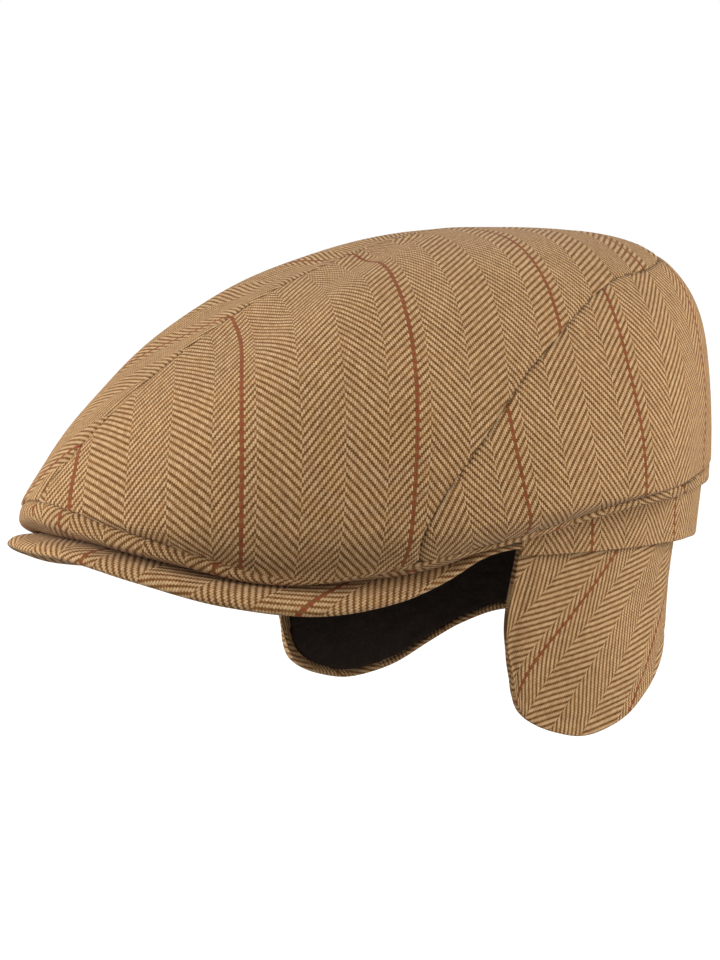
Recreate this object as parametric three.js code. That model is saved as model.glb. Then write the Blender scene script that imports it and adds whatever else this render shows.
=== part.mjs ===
// A tweed flat cap with a stiff peak and fleece-lined earflaps turned down.
// Millimetres, +Z up. The front of the cap is towards -Y, the wearer's left towards +X.
// The origin is the middle of the head opening, level with the lower edge of the band.

import * as THREE from 'three';

// Head opening: half axes of the oval on the outside of the band
const HEAD_HALF_WIDTH = 84;
const HEAD_HALF_LENGTH = 100;

// Crown
const CROWN_TOP = 108.7;
const CROWN_TOP_Y = 24;
const TOP_FLAT = 0.14; // share of the crown's breadth over which its top point lies nearly flat
const CROWN_WALL = 2;
const TURNED_UNDER = 0.14; // share of a meridian that lies below the widest line
const SEAM_GAP = 0.3;
const SEAM_DIP = 0.5;

// Strip under the crown
const STRIP_WALL = 1.2;
const STRIP_REACH = 12;
const STRIP_REST = 0.35;
const STRIP_ON_BAND = 0.2;

// Band
const BAND_WALL = 1.6;
const BAND_FLARE = 1.9;
const BAND_FRONT_ANGLE = 81;

// Peak
const PEAK_CENTRE_Y = -16;
const PEAK_HALF_WIDTH = 88;
const PEAK_LENGTH = 141;
const PEAK_FULLNESS = 2.15;
const PEAK_ARCH = 1.15;
const PEAK_END_ANGLE = 89.8;
const PEAK_TWIST = 1.3; // how much lower its left side hangs than its middle, and its right side higher

// Earflaps: one strip of cloth from temple to temple, with its fleece lining
const FLAP_TOP = 8;
const FLAP_COVER = 1.4;
const FLAP_EDGE = 3.6;
const FLAP_EDGE_WIDTH = 2.3;
const FLEECE = 2.2;
const FLEECE_GAP = 0.3;
const FLEECE_INSET = 4;
const EDGE_ROUND = 0.5;

// Crown meridians, by angle from the front round the top point: radius and height of the widest
// line, two powers for how full the cloth stands over the top and down the side, and the hem.
const CROWN_MERIDIANS = [
  { angle: 0, radius: 176.3, height: 19, top: 1.9, side: 1.1, hemRadius: 173.3, hemHeight: 17 },
  { angle: 15, radius: 167.7, height: 13, top: 1.8, side: 1.4, hemRadius: 162.7, hemHeight: 8 },
  { angle: 30, radius: 146.5, height: 12, top: 2, side: 2, hemRadius: 138, hemHeight: -4 },
  { angle: 45, radius: 130.5, height: 12, top: 1.9, side: 2.2, hemRadius: 122, hemHeight: 0 },
  { angle: 60, radius: 117, height: 15, top: 2.1, side: 2, hemRadius: 109, hemHeight: 6.5 },
  { angle: 80, radius: 103.5, height: 19.5, top: 2.3, side: 1.9, hemRadius: 96.5, hemHeight: 15 },
  { angle: 100, radius: 95, height: 22, top: 2.5, side: 2.1, hemRadius: 88.5, hemHeight: 20 },
  { angle: 120, radius: 85, height: 26, top: 2.6, side: 2.8, hemRadius: 82, hemHeight: 23 },
  { angle: 150, radius: 78.8, height: 29, top: 2.6, side: 5, hemRadius: 77, hemHeight: 23.5 },
  { angle: 180, radius: 80, height: 31, top: 2.45, side: 7, hemRadius: 77.5, hemHeight: 24 },
];

// Seam of the back panel, from the hem at the side up to the middle of the back.
// The share runs down a meridian from 0 at the top point through 1 at the widest line.
const BACK_SEAM = [
  { angle: 47, share: 1.14 },
  { angle: 48.5, share: 1.02 },
  { angle: 51, share: 0.95 },
  { angle: 55, share: 0.87 },
  { angle: 60, share: 0.77 },
  { angle: 65, share: 0.685 },
  { angle: 72, share: 0.61 },
  { angle: 81, share: 0.54 },
  { angle: 92, share: 0.49 },
  { angle: 104, share: 0.478 },
  { angle: 120, share: 0.515 },
  { angle: 140, share: 0.555 },
  { angle: 160, share: 0.58 },
  { angle: 180, share: 0.585 },
];

// Strip under the crown: how much shows below the hem, and how far it bulges out past it
const STRIP_DROPS = [
  { angle: 0, drop: 8, bulge: 4.4 },
  { angle: 14, drop: 5.5, bulge: 3.5 },
  { angle: 24, drop: 4, bulge: 1.2 },
  { angle: 33, drop: 1.6, bulge: 0.7 },
  { angle: 60, drop: 1.4, bulge: 0.7 },
  { angle: 90, drop: 2.4, bulge: 0.7 },
  { angle: 120, drop: 4, bulge: 0.7 },
  { angle: 180, drop: 4, bulge: 0.7 },
];

// Band, by angle from the front round the head opening
const BAND_HEIGHTS = [
  { angle: 80, height: 4.5 },
  { angle: 90, height: 8.5 },
  { angle: 100, height: 12 },
  { angle: 120, height: 17 },
  { angle: 150, height: 18 },
  { angle: 180, height: 18.5 },
];

// Peak, by angle from the front round the peak's centre
const PEAK_SECTIONS = [
  { angle: 0, innerHeight: 8, edgeHeight: 1, thickness: 4.2 },
  { angle: 10, innerHeight: 7, edgeHeight: 0.5, thickness: 4.2 },
  { angle: 20, innerHeight: 4.5, edgeHeight: -4.5, thickness: 4.4 },
  { angle: 32, innerHeight: 1, edgeHeight: -11.4, thickness: 4.6 },
  { angle: 46, innerHeight: -0.5, edgeHeight: -15, thickness: 4.6 },
  { angle: 60, innerHeight: 0.5, edgeHeight: -11.9, thickness: 4 },
  { angle: 70, innerHeight: 2, edgeHeight: -6.3, thickness: 3.4 },
  { angle: 80, innerHeight: 3.5, edgeHeight: 1.2, thickness: 2.6 },
  { angle: 90, innerHeight: 4.5, edgeHeight: 3, thickness: 1.8 },
];

// Front edge of an earflap, from its top down to the round corner
const FLAP_FRONT = [
  { height: 8, angle: 82 },
  { height: 0, angle: 81.2 },
  { height: -25, angle: 78 },
  { height: -46, angle: 80.4 },
];

// Lower edge of an earflap, from the round corner to the nape
const FLAP_LOWER = [
  { angle: 80.4, height: -46 },
  { angle: 80.9, height: -49.5 },
  { angle: 82.2, height: -53.5 },
  { angle: 85.5, height: -58 },
  { angle: 90, height: -61.4 },
  { angle: 96, height: -63.6 },
  { angle: 102, height: -62.2 },
  { angle: 109, height: -58 },
  { angle: 117, height: -50 },
  { angle: 125, height: -42.8 },
  { angle: 135, height: -37.2 },
  { angle: 155, height: -34 },
  { angle: 180, height: -33 },
];

// How far the earflap strip stands in from the outside of the band, and leans in as it hangs
const FLAP_SETBACKS = [
  { angle: 80, setback: 2.1, lean: 0.01 },
  { angle: 100, setback: 2.3, lean: 0 },
  { angle: 120, setback: 3.4, lean: 0 },
  { angle: 145, setback: 7, lean: 0.13 },
  { angle: 180, setback: 8, lean: 0.13 },
];

const TWEED = { color: 0xb08a5c, roughness: 0.95, metalness: 0 };
const DARK_FLEECE = { color: 0x1f1813, roughness: 1, metalness: 0 };

const radians = THREE.MathUtils.degToRad;
const mix = THREE.MathUtils.lerp;

// A smooth curve through one column of a table, level at both ends
function columnCurve(rows, key, column) {
  const slope = rows.map((row, i) => {
    if (i === 0 || i === rows.length - 1) return 0;
    return (rows[i + 1][column] - rows[i - 1][column]) / (rows[i + 1][key] - rows[i - 1][key]);
  });
  const rising = rows[rows.length - 1][key] > rows[0][key] ? 1 : -1;
  return (x) => {
    let i = 0;
    while (i < rows.length - 2 && (x - rows[i + 1][key]) * rising > 0) i += 1;
    const span = rows[i + 1][key] - rows[i][key];
    const t = THREE.MathUtils.clamp((x - rows[i][key]) / span, 0, 1);
    const rise = rows[i + 1][column] - rows[i][column];
    const early = slope[i] * span * t * (1 - t) * (1 - t);
    const late = slope[i + 1] * span * t * t * (1 - t);
    return rows[i][column] + rise * t * t * (3 - 2 * t) + early - late;
  };
}

// Angles beyond 180 are the right half, which mirrors the left
const folded = (angle) => (angle > 180 ? 360 - angle : Math.abs(angle));

const crownColumn = (column) => columnCurve(CROWN_MERIDIANS, 'angle', column);
const wideRadius = crownColumn('radius');
const wideHeight = crownColumn('height');
const topPower = crownColumn('top');
const sidePower = crownColumn('side');
const hemRadius = crownColumn('hemRadius');
const hemHeight = crownColumn('hemHeight');

// Outside of the crown at an angle, and a share of the way down that meridian
function crownPoint(angle, share) {
  const a = folded(angle);
  const out = Math.sin(Math.min(share, 1) * Math.PI / 2);
  const under = Math.max(share - 1, 0) / TURNED_UNDER;
  const bend = Math.pow(out, topPower(a)) * (1 - Math.exp(-((out / TOP_FLAT) ** 2)));
  const fall = Math.pow(Math.max(1 - bend, 0), 1 / sidePower(a));
  const wide = wideRadius(a);
  const radius = share <= 1 ? wide * out : wide - (wide - hemRadius(a)) * under * under;
  const low = wideHeight(a) - (wideHeight(a) - hemHeight(a)) * under;
  const height = share <= 1 ? mix(wideHeight(a), CROWN_TOP, fall) : low;
  const turn = radians(angle);
  return new THREE.Vector3(radius * Math.sin(turn), CROWN_TOP_Y - radius * Math.cos(turn), height);
}

// Direction square to the crown's cloth, from two short steps over it
const STEP_ANGLE = 0.5;
const STEP_SHARE = 0.004;

function crownNormal(angle, share) {
  if (share === 0) return new THREE.Vector3(0, 0, 1);
  const round = crownPoint(angle + STEP_ANGLE, share).sub(crownPoint(angle - STEP_ANGLE, share));
  const high = Math.max(share - STEP_SHARE, 0);
  const low = Math.min(share + STEP_SHARE, 1 + TURNED_UNDER);
  return round.cross(crownPoint(angle, high).sub(crownPoint(angle, low))).normalize();
}

// Point on the oval of the head opening, moved in by an inset
function headPoint(angle, inset, height) {
  const turn = radians(angle);
  const x = (HEAD_HALF_WIDTH - inset) * Math.sin(turn);
  const y = -(HEAD_HALF_LENGTH - inset) * Math.cos(turn);
  return new THREE.Vector3(x, y, height);
}

// One closed mesh, put together from faces whose shared corners are merged
class ClosedMesh {
  constructor() {
    this.places = [];
    this.faces = [];
    this.known = new Map();
  }

  corner(point) {
    const key = point.toArray().map((v) => Math.round(v * 2000)).join(' ');
    if (!this.known.has(key)) {
      this.known.set(key, this.places.length);
      this.places.push(point);
    }
    return this.known.get(key);
  }

  triangle(a, b, c) {
    if (a !== b && b !== c && c !== a) this.faces.push([a, b, c]);
  }

  quad(a, b, c, d) {
    this.triangle(a, b, c);
    this.triangle(a, c, d);
  }

  volume() {
    return this.faces.reduce((sum, face) => {
      const [a, b, c] = face.map((i) => this.places[i]);
      return sum + a.dot(b.clone().cross(c)) / 6;
    }, 0);
  }

  geometry() {
    const outward = this.volume() > 0;
    const order = this.faces.map(([a, b, c]) => (outward ? [a, b, c] : [a, c, b]));
    const geometry = new THREE.BufferGeometry();
    const numbers = this.places.flatMap((p) => p.toArray());
    geometry.setAttribute('position', new THREE.Float32BufferAttribute(numbers, 3));
    geometry.setIndex(order.flat());
    geometry.computeVertexNormals();
    return geometry;
  }
}

// Normals of a grid of points, facing away from a point inside the cap
const INSIDE = new THREE.Vector3(0, 0, 40);

function gridNormals(grid, ring) {
  const last = grid.length - 1;
  const cloth = grid.map((column, i) => column.map((point, j) => {
    const before = i > 0 ? i - 1 : (ring ? last : 0);
    const after = i < last ? i + 1 : (ring ? 0 : last);
    const along = grid[after][j].clone().sub(grid[before][j]);
    const across = column[Math.min(j + 1, column.length - 1)].clone().sub(column[Math.max(j - 1, 0)]);
    return along.cross(across).normalize();
  }));
  const facing = grid.flat().reduce((sum, point, k) => (
    sum + Math.sign(cloth.flat()[k].dot(point.clone().sub(INSIDE)))), 0);
  return cloth.map((column) => column.map((normal) => normal.multiplyScalar(Math.sign(facing))));
}

// A cloth wall on a grid of points of its outside: grid[column][row].
// The depth says how thick it is at a grid place. Its edges are rounded by rounding.
function clothWall(grid, depth, options = {}) {
  const { ring = false, rounding = EDGE_ROUND, normals = gridNormals(grid, ring) } = options;
  const columns = grid.length;
  const rows = grid[0].length;
  const mesh = new ClosedMesh();
  const outer = [];
  const inner = [];
  for (let i = 0; i < columns; i += 1) {
    outer.push([]);
    inner.push([]);
    for (let j = 0; j < rows; j += 1) {
      const normal = normals[i][j];
      const onSide = !ring && (i === 0 || i === columns - 1);
      const onEdge = onSide || j === 0 || j === rows - 1;
      const dip = onEdge ? rounding : 0;
      const thick = Math.max(depth(i, j) - dip, dip + 0.4);
      outer[i].push(mesh.corner(grid[i][j].clone().addScaledVector(normal, -dip)));
      inner[i].push(mesh.corner(grid[i][j].clone().addScaledVector(normal, -thick)));
    }
  }
  const steps = ring ? columns : columns - 1;
  for (let i = 0; i < steps; i += 1) {
    const next = (i + 1) % columns;
    for (let j = 0; j < rows - 1; j += 1) {
      mesh.quad(outer[i][j], outer[next][j], outer[next][j + 1], outer[i][j + 1]);
      mesh.quad(inner[i][j], inner[i][j + 1], inner[next][j + 1], inner[next][j]);
    }
    mesh.quad(outer[i][0], inner[i][0], inner[next][0], outer[next][0]);
    mesh.quad(outer[i][rows - 1], outer[next][rows - 1], inner[next][rows - 1], inner[i][rows - 1]);
  }
  if (!ring) {
    for (let j = 0; j < rows - 1; j += 1) {
      const end = columns - 1;
      mesh.quad(outer[0][j], outer[0][j + 1], inner[0][j + 1], inner[0][j]);
      mesh.quad(outer[end][j], inner[end][j], inner[end][j + 1], outer[end][j + 1]);
    }
  }
  return mesh.geometry();
}

function piece(name, geometry, look) {
  const mesh = new THREE.Mesh(geometry, new THREE.MeshStandardMaterial(look));
  mesh.name = name;
  return mesh;
}

// Stations from 0 to 1 in even steps, with a close pair at each end for the rounded edge
function stations(count, closeFirst, closeLast) {
  const even = Array.from({ length: count + 1 }, (unused, i) => i / count);
  if (closeFirst > 0) even.splice(1, 0, closeFirst);
  if (closeLast > 0) even.splice(even.length - 1, 0, 1 - closeLast);
  return even;
}

// The back seam as a curve, with stations at even lengths along it
const SEAM_SAMPLES = 400;
const seamRows = BACK_SEAM.map((row, order) => ({ ...row, order }));
const seamAngle = columnCurve(seamRows, 'order', 'angle');
const seamShare = columnCurve(seamRows, 'order', 'share');
const seamLengths = [0];
for (let i = 1; i <= SEAM_SAMPLES; i += 1) {
  const at = (k) => crownPoint(seamAngle(k), seamShare(k));
  const step = (seamRows.length - 1) / SEAM_SAMPLES;
  seamLengths.push(seamLengths[i - 1] + at(i * step).distanceTo(at((i - 1) * step)));
}

function seamPlace(part) {
  const wanted = part * seamLengths[SEAM_SAMPLES];
  let i = 1;
  while (i < SEAM_SAMPLES && seamLengths[i] < wanted) i += 1;
  const within = (wanted - seamLengths[i - 1]) / (seamLengths[i] - seamLengths[i - 1]);
  const order = (i - 1 + within) * (seamRows.length - 1) / SEAM_SAMPLES;
  return { angle: seamAngle(order), share: seamShare(order) };
}

// Moves the seam edge of a panel back from the seam line, square to it and along the cloth
function backFromSeam(edge, beside, next, distance) {
  const along = next.clone().sub(edge).normalize();
  const inward = beside.clone().sub(edge);
  inward.addScaledVector(along, -inward.dot(along)).normalize();
  return edge.clone().addScaledVector(inward, distance);
}

// Both panels that meet at the back seam have their corners at these parts of its length
const SEAM_COLUMNS = 20;
const SEAM_PARTS = stations(SEAM_COLUMNS, 0.6 / SEAM_COLUMNS, 0.2 / SEAM_COLUMNS);

// Crown, main panels: from the centre seam round the front hem and up the back seam
const HEM_COLUMNS = 12;
const HEM_PART = 0.4;
const TOP_CORNER_ANGLE = 42; // direction in which the line to the seam's lower end leaves the top
const PANEL_ROWS = [0, 0.06, 0.14, 0.24, 0.35, 0.47, 0.59, 0.7, 0.79, 0.87, 0.93, 0.98, 1];

function mainPanelEdge(part) {
  if (part > HEM_PART) return seamPlace((part - HEM_PART) / (1 - HEM_PART));
  return { angle: BACK_SEAM[0].angle * part / HEM_PART, share: 1 + TURNED_UNDER };
}

function mainPanelPlaces(parts) {
  return parts.map((part) => {
    const edge = mainPanelEdge(part);
    const early = TOP_CORNER_ANGLE * part / HEM_PART;
    const late = mix(TOP_CORNER_ANGLE, 180, (part - HEM_PART) / (1 - HEM_PART));
    const leaving = part < HEM_PART ? early : late;
    return PANEL_ROWS.map((down) => ({ angle: mix(leaving, edge.angle, down), share: edge.share * down }));
  });
}

function mainPanel() {
  const hemParts = stations(HEM_COLUMNS, 0.16 / HEM_COLUMNS, 0).map((s) => s * HEM_PART);
  const parts = [...hemParts, ...SEAM_PARTS.slice(1).map((s) => mix(HEM_PART, 1, s))];
  const places = mainPanelPlaces(parts);
  const grid = places.map((column) => column.map(({ angle, share }) => crownPoint(angle, share)));
  const normals = places.map((column) => column.map(({ angle, share }) => crownNormal(angle, share)));
  const last = PANEL_ROWS.length - 1;
  const spaced = grid.map((column, i) => column.map((point, j) => {
    const onSeam = j === last && parts[i] > HEM_PART;
    const next = grid[i < grid.length - 1 ? i + 1 : i - 1][last];
    const placed = onSeam ? backFromSeam(point, column[j - 1], next, SEAM_GAP / 2) : point.clone();
    return placed.setX(placed.x + SEAM_GAP / 2);
  }));
  return clothWall(spaced, () => CROWN_WALL, { rounding: SEAM_DIP, normals });
}

const leftPanel = mainPanel();

// The right panel mirrors the left, with its triangles turned to face out again
function mirrored(geometry) {
  const copy = geometry.clone().scale(-1, 1, 1);
  const turned = Array.from(copy.index.array);
  for (let i = 0; i < turned.length; i += 3) {
    [turned[i + 1], turned[i + 2]] = [turned[i + 2], turned[i + 1]];
  }
  copy.setIndex(turned);
  copy.computeVertexNormals();
  return copy;
}

// Crown, back panel: one piece from side to side, between the back seam and the hem
const BACK_CORNER_CLEAR = 0.4;
const BACK_ROWS = [0, 0.03, 0.12, 0.26, 0.42, 0.57, 0.7, 0.81, 0.9, 0.965, 1];

// Adds to the left half of a grid its right half, which mirrors it
function wholeGrid(half) {
  const right = half.slice(0, -1).reverse();
  return [...half, ...right.map((column) => column.map((p) => new THREE.Vector3(-p.x, p.y, p.z)))];
}

function backPanel() {
  const parts = SEAM_PARTS.slice(1);
  const places = parts.map((part) => {
    const seam = seamPlace(part);
    const along = (part - parts[0]) / (1 - parts[0]);
    const hemAngle = mix(BACK_SEAM[0].angle + BACK_CORNER_CLEAR, 180, along);
    return BACK_ROWS.map((down) => (
      { angle: mix(seam.angle, hemAngle, down), share: mix(seam.share, 1 + TURNED_UNDER, down) }));
  });
  const half = places.map((column) => column.map(({ angle, share }) => crownPoint(angle, share)));
  const normals = places.map((column) => column.map(({ angle, share }) => crownNormal(angle, share)));
  const spaced = half.map((column, i) => column.map((point, j) => {
    if (j > 0) return point;
    return backFromSeam(point, column[1], half[i > 0 ? i - 1 : 1][0], SEAM_GAP / 2);
  }));
  const options = { rounding: SEAM_DIP, normals: wholeGrid(normals) };
  return clothWall(wholeGrid(spaced), () => CROWN_WALL, options);
}

// Top of the peak over any plan place, by its angle and share of the way out from the head
const peakColumn = (column) => columnCurve(PEAK_SECTIONS, 'angle', column);
const peakInner = peakColumn('innerHeight');
const peakEdge = peakColumn('edgeHeight');
const peakThickness = peakColumn('thickness');

function peakReach(angle) {
  const across = Math.abs(Math.sin(radians(angle))) / PEAK_HALF_WIDTH;
  const along = Math.abs(Math.cos(radians(angle))) / PEAK_LENGTH;
  return Math.pow(Math.pow(across, PEAK_FULLNESS) + Math.pow(along, PEAK_FULLNESS), -1 / PEAK_FULLNESS);
}

function headReach(angle) {
  const across = Math.sin(radians(angle)) / (HEAD_HALF_WIDTH - BAND_WALL);
  const along = Math.cos(radians(angle)) / (HEAD_HALF_LENGTH - BAND_WALL);
  const offset = -PEAK_CENTRE_Y / (HEAD_HALF_LENGTH - BAND_WALL);
  const a = across * across + along * along;
  const b = along * offset;
  return (-b + Math.sqrt(b * b - a * (offset * offset - 1))) / a;
}

function peakTop(angle, share) {
  const a = Math.abs(angle);
  const twist = PEAK_TWIST * Math.sin(radians(2 * angle)) * share * share;
  return mix(peakInner(a), peakEdge(a) + peakThickness(a), Math.pow(share, PEAK_ARCH)) - twist;
}

function peakPoint(angle, share, drop) {
  const reach = mix(headReach(angle), peakReach(angle), share);
  const x = reach * Math.sin(radians(angle));
  const y = PEAK_CENTRE_Y - reach * Math.cos(radians(angle));
  return new THREE.Vector3(x, y, peakTop(angle, Math.min(share, 1)) - drop);
}

function peakTopAt(x, y) {
  const ahead = PEAK_CENTRE_Y - y;
  if (ahead < 0) return -Infinity;
  const angle = THREE.MathUtils.radToDeg(Math.atan2(x, ahead));
  const reach = Math.hypot(x, ahead);
  const share = (reach - headReach(angle)) / (peakReach(angle) - headReach(angle));
  return share > 1.02 ? -Infinity : peakTop(angle, THREE.MathUtils.clamp(share, 0, 1));
}

// Peak: a cloth-covered board, a closed section at each angle with a rounded outer edge
const PEAK_STEPS = 34;
const PEAK_SHARES = [0, 0.2, 0.42, 0.64, 0.84, 0.96];

function peakGeometry() {
  const mesh = new ClosedMesh();
  const sections = stations(PEAK_STEPS, 0, 0).map((s) => {
    const angle = mix(-PEAK_END_ANGLE, PEAK_END_ANGLE, s);
    const thick = peakThickness(Math.abs(angle));
    const above = PEAK_SHARES.map((share) => peakPoint(angle, share, share > 0.9 ? thick * 0.12 : 0));
    const below = PEAK_SHARES.map((share) => peakPoint(angle, share, share > 0.9 ? thick * 0.88 : thick));
    const nose = peakPoint(angle, 1, thick / 2);
    return [...above, nose, ...below.reverse()].map((point) => mesh.corner(point));
  });
  for (let i = 0; i < sections.length - 1; i += 1) {
    for (let j = 0; j < sections[i].length; j += 1) {
      const k = (j + 1) % sections[i].length;
      mesh.quad(sections[i][j], sections[i + 1][j], sections[i + 1][k], sections[i][k]);
    }
  }
  closeEnd(mesh, sections[0], false);
  closeEnd(mesh, sections[sections.length - 1], true);
  return mesh.geometry();
}

// Closes the end of a sheet-like section, whose first half runs out and second half runs back
function closeEnd(mesh, section, turned) {
  const count = section.length;
  const half = (count - 1) / 2;
  for (let j = 0; j < half; j += 1) {
    const corners = [section[j], section[j + 1], section[count - 2 - j], section[count - 1 - j]];
    if (turned) corners.reverse();
    mesh.quad(...corners);
  }
}

// Band, from temple to temple round the back of the head
const BAND_STEPS = 48;
const BAND_ROWS = [0, 0.08, 0.5, 0.92, 1];
const bandTop = columnCurve(BAND_HEIGHTS, 'angle', 'height');

function bandPoint(angle, share) {
  const height = share * bandTop(folded(angle));
  return headPoint(angle, -BAND_FLARE * height / bandTop(180), height);
}

function bandGrid() {
  return stations(BAND_STEPS, 0.3 / BAND_STEPS, 0.3 / BAND_STEPS).map((s) => {
    const angle = mix(BAND_FRONT_ANGLE, 360 - BAND_FRONT_ANGLE, s);
    return BAND_ROWS.map((share) => bandPoint(angle, share));
  });
}

// Strip under the crown: down from the hem, then in to the top of the band or over the peak
const STRIP_STEPS = 52;
const STRIP_INWARD = [0.35, 0.7, 1];
const stripDrop = columnCurve(STRIP_DROPS, 'angle', 'drop');
const stripBulge = columnCurve(STRIP_DROPS, 'angle', 'bulge');

function stripSection(angle) {
  const hem = crownPoint(angle, 1 + TURNED_UNDER);
  const drop = stripDrop(folded(angle));
  const bulge = stripBulge(folded(angle));
  const turn = Math.atan2(hem.x / HEAD_HALF_WIDTH, -hem.y / HEAD_HALF_LENGTH);
  const headAngle = THREE.MathUtils.radToDeg(turn);
  const round = Math.abs(headAngle);
  const onBand = round > BAND_FRONT_ANGLE;
  const inward = headPoint(headAngle, BAND_WALL, 0).sub(hem).setZ(0);
  const reach = Math.min(inward.length(), STRIP_REACH);
  inward.normalize();
  const top = hem.z - STRIP_REST;
  const floor = (point) => peakTopAt(point.x, point.y) + STRIP_REST + STRIP_WALL * 0.1;
  const at = (distance, height) => {
    const point = hem.clone().addScaledVector(inward, distance);
    return point.setZ(Math.max(height, floor(point)));
  };
  const rest = onBand ? bandTop(round) + STRIP_REST + STRIP_ON_BAND : top - drop;
  const low = Math.max(top - drop, rest);
  const belly = [at(-bulge * 0.8, top - drop * 0.2), at(-bulge, top - drop * 0.6)];
  const points = [at(0.2, top), ...belly, at(0.8, low)];
  STRIP_INWARD.forEach((share) => points.push(at(mix(0.8, reach, share), mix(low, rest, share))));
  return points;
}

function stripGrid() {
  return Array.from({ length: STRIP_STEPS }, (unused, i) => stripSection((i * 360) / STRIP_STEPS));
}

// Earflap strip: columns from the front edge of one flap round the nape to the other
const FLAP_COLUMNS = 42;
const FLAP_CROWDING = 0.6;
const FLAP_ROWS = [0, 0.22, 0.42, 0.6, 0.76, 0.9];
const flapFront = columnCurve(FLAP_FRONT, 'height', 'angle');
const flapLower = columnCurve(FLAP_LOWER, 'angle', 'height');
const flapSetback = columnCurve(FLAP_SETBACKS, 'angle', 'setback');
const flapLean = columnCurve(FLAP_SETBACKS, 'angle', 'lean');
const CORNER_ANGLE = FLAP_LOWER[0].angle;
const CORNER_HEIGHT = FLAP_LOWER[0].height;

// A place on the outside of the strip. Inset moves the front and lower edges in by some
// millimetres, and depth is measured through the cloth towards the head.
function flapPoint(along, down, inset, depth) {
  const angleInset = THREE.MathUtils.radToDeg(inset / HEAD_HALF_LENGTH);
  const half = along > 0.5 ? 1 - along : along;
  const base = mix(CORNER_ANGLE + angleInset, 180, half * 2);
  const bottom = flapLower(base - angleInset * Math.max(0, 1 - half * 8)) + inset;
  const height = mix(FLAP_TOP, bottom, down);
  const forward = flapFront(mix(FLAP_TOP, CORNER_HEIGHT, down)) - CORNER_ANGLE;
  const angle = base + forward * Math.pow(Math.max(0, 1 - half * 4), 2);
  const setback = flapSetback(angle) + flapLean(angle) * Math.max(0, -height) + depth;
  return headPoint(along > 0.5 ? 360 - angle : angle, setback, height);
}

const FLAP_HALF_ARC = (Math.PI - radians(CORNER_ANGLE)) * (HEAD_HALF_WIDTH + HEAD_HALF_LENGTH) / 2;

function flapHeight(along) {
  return FLAP_TOP - flapLower(mix(CORNER_ANGLE, 180, 2 * Math.min(along, 1 - along)));
}

// Even columns, drawn together towards the two front edges where the corners are round
const flapMiddle = stations(FLAP_COLUMNS, 0, 0).slice(1, -1)
  .map((s) => mix(s, (1 - Math.cos(Math.PI * s)) / 2, FLAP_CROWDING));

function coverGrid() {
  const near = [0, 1, FLAP_EDGE_WIDTH, FLAP_EDGE_WIDTH + 0.4].map((mm) => mm / FLAP_HALF_ARC / 2);
  const alongs = [...near, ...flapMiddle, ...near.slice().reverse().map((s) => 1 - s)];
  return alongs.map((along) => {
    const edges = [FLAP_EDGE_WIDTH + 0.4, FLAP_EDGE_WIDTH, 1, 0].map((mm) => 1 - mm / flapHeight(along));
    const rows = [...FLAP_ROWS.map((s) => s * 0.98), ...edges];
    return rows.map((down) => flapPoint(along, down, 0, 0));
  });
}

function coverDepth(grid) {
  const lastColumn = grid.length - 1;
  const lastRow = grid[0].length - 1;
  return (i, j) => (Math.min(i, lastColumn - i, lastRow - j) < 3 ? FLAP_EDGE : FLAP_COVER);
}

function liningGrid() {
  const near = [0, 1.2].map((mm) => mm / FLAP_HALF_ARC / 2);
  const alongs = [...near, ...flapMiddle, ...near.slice().reverse().map((s) => 1 - s)];
  return alongs.map((along) => {
    const rows = [...FLAP_ROWS, 1 - 1.2 / flapHeight(along), 1];
    return rows.map((down) => flapPoint(along, down, FLEECE_INSET, FLAP_COVER + FLEECE_GAP));
  });
}

const cover = coverGrid();
const underStrip = clothWall(stripGrid(), () => STRIP_WALL, { ring: true, rounding: 0.1 });
const cap = new THREE.Group();
cap.name = 'cap_with_earflaps';
cap.add(piece('crown_left', leftPanel, TWEED));
cap.add(piece('crown_right', mirrored(leftPanel), TWEED));
cap.add(piece('crown_back', backPanel(), TWEED));
cap.add(piece('crown_under_strip', underStrip, TWEED));
cap.add(piece('band', clothWall(bandGrid(), () => BAND_WALL), TWEED));
cap.add(piece('peak', peakGeometry(), TWEED));
cap.add(piece('earflap_cover', clothWall(cover, coverDepth(cover)), TWEED));
cap.add(piece('earflap_lining', clothWall(liningGrid(), () => FLEECE), DARK_FLEECE));

export default cap;
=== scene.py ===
# A tweed flat cap with a stiff peak and fleece-lined earflaps, seen as it is worn.
# The front of the cap is towards -Y and the wearer's left towards +X. Sizes of pieces are in millimetres.

import math

import bmesh
import bpy
import numpy as np
from mathutils import Matrix, Vector, noise


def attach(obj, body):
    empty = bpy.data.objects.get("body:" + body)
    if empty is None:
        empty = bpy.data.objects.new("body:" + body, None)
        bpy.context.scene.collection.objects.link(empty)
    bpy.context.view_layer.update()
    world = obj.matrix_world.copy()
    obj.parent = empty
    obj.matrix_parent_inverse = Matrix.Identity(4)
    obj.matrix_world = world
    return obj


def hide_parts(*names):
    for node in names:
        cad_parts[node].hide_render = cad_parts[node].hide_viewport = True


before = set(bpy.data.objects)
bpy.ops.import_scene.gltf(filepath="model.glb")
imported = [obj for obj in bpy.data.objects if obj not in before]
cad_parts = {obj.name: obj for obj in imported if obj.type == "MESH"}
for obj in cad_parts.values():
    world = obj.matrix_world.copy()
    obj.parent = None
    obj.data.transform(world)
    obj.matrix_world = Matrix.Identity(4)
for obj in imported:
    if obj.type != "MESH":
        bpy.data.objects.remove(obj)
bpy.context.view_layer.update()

MM = 0.001


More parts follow.
